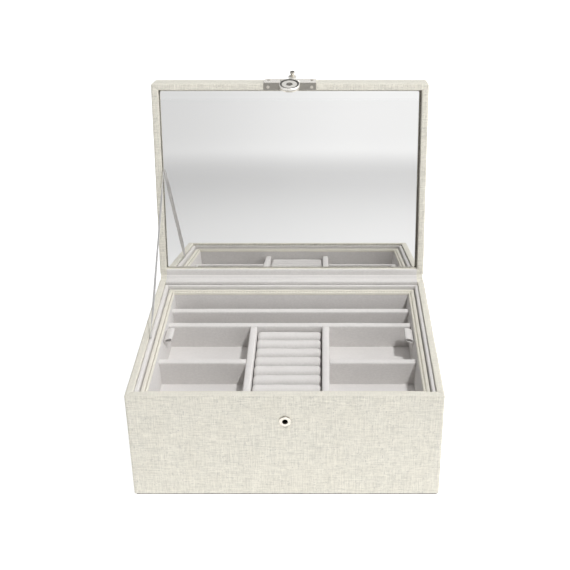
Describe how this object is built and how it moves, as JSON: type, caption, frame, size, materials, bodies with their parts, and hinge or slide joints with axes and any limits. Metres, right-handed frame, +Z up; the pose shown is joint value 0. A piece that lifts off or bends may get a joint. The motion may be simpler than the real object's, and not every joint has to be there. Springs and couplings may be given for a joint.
{
  "type": "jewellery chest",
  "caption": "Linen-covered jewellery chest with a mirrored hinged lid, a swinging clasp and a velvet-lined lift-out tray with dividers and a ring pad.",
  "frame": {"origin": "centre of the base on the table", "axes": "+Z up, -Y towards the front with the clasp's strike, +X to the right seen from the front"},
  "size_m": [0.28, 0.267, 0.3279],
  "materials": {
    "linen": "slubby oatmeal linen",
    "velvet": "light grey velvet",
    "board": "fibreboard",
    "leatherette": "cream leatherette with a pressed line",
    "padding": "honeycomb card core",
    "felt": "dark felt",
    "mirror_glass": "silvered glass with a narrow bevel",
    "nickel": "warm satin nickel plate",
    "dark_steel": "nickel-plated steel",
    "ribbon": "grosgrain ribbon"
  },
  "bodies": {
    "case": {"base_felt": "felt", "case_back_board": "board", "case_base_board": "board", "case_front_board": "board", "case_hinge_leaves": "dark_steel", "case_hinge_screws": "dark_steel", "case_hinge_tape": "velvet", "case_left_board": "board", "case_linen_wrap": "linen", "case_right_board": "board", "hinge_pins": "dark_steel", "lining_back": "velvet", "lining_front": "velvet", "lining_left": "velvet", "lining_right": "velvet", "stay_ribbon": "ribbon", "strike_cup": "dark_steel", "strike_ring": "nickel", "strike_snap_ring": "nickel", "tray_rests": "velvet", "well_floor_velvet": "velvet"},
    "lid": {"lid_front_board": "board", "lid_back_board": "board", "lid_left_board": "board", "lid_right_board": "board", "lid_top_panel": "board", "lid_linen_wrap": "linen", "lid_core": "padding", "mirror_backing": "board", "mirror": "mirror_glass", "lid_hinge_leaves": "dark_steel", "lid_hinge_screws": "dark_steel", "lid_hinge_tape": "velvet", "clasp_plate": "nickel", "clasp_screws": "nickel"},
    "hasp": {"hasp_leaf": "nickel", "hasp_pin": "nickel", "latch_pivot_screw": "nickel"},
    "latch": {"latch_disc": "nickel"},
    "knob": {"latch_knob": "nickel"},
    "tray": {"tray_front_wall": "leatherette", "tray_back_wall": "leatherette", "tray_left_wall": "leatherette", "tray_right_wall": "leatherette", "tray_floor": "board", "tray_wall_velvet": "velvet", "tray_floor_velvet": "velvet", "divider_back": "velvet", "divider_middle": "velvet", "divider_ring_left": "velvet", "divider_ring_right": "velvet", "divider_cross_left": "velvet", "divider_cross_right": "velvet", "ring_pad_base": "velvet", "ring_rolls": "velvet"},
    "loop_left": {"pull_loop_left": "velvet"},
    "loop_right": {"pull_loop_right": "velvet"}
  },
  "joints": [
    {"name": "lid_hinge", "type": "hinge", "parent": "case", "child": "lid", "pos_m": [0, 0.1048, 0.1114], "axis": [-1, 0, 0], "range_deg": [-99, 0], "deforming": ["stay_ribbon"]},
    {"name": "hasp_hinge", "type": "hinge", "parent": "lid", "child": "hasp", "pos_m": [0, 0.13772, 0.3186], "axis": [-1, 0, 0], "range_deg": [0, 19.61]},
    {"name": "latch_turn", "type": "hinge", "parent": "hasp", "child": "latch", "pos_m": [0, 0.12671, 0.31654], "axis": [0, 0.184, -0.9829], "range_deg": [0, 171]},
    {"name": "knob_press", "type": "slide", "parent": "latch", "child": "knob", "axis": [0, 0.184, -0.9829], "range_m": [0, 0.0038], "stiffness_N_per_m": 120, "springref_m": -0.001},
    {"name": "tray_lift", "type": "slide", "parent": "case", "child": "tray", "axis": [0, 0, 1], "range_m": [0, 0.09]},
    {"name": "loop_left_fold", "type": "hinge", "parent": "tray", "child": "loop_left", "pos_m": [-0.1211, 0.0115, 0.0996], "axis": [0, -1, 0], "range_deg": [0, 80]},
    {"name": "loop_right_fold", "type": "hinge", "parent": "tray", "child": "loop_right", "pos_m": [0.1211, 0.0115, 0.0996], "axis": [0, 1, 0], "range_deg": [0, 80]}
  ],
  "couplings": [
    {"joint": "hasp_hinge", "follows": "lid_hinge", "ratio": -0.19798}
  ]
}
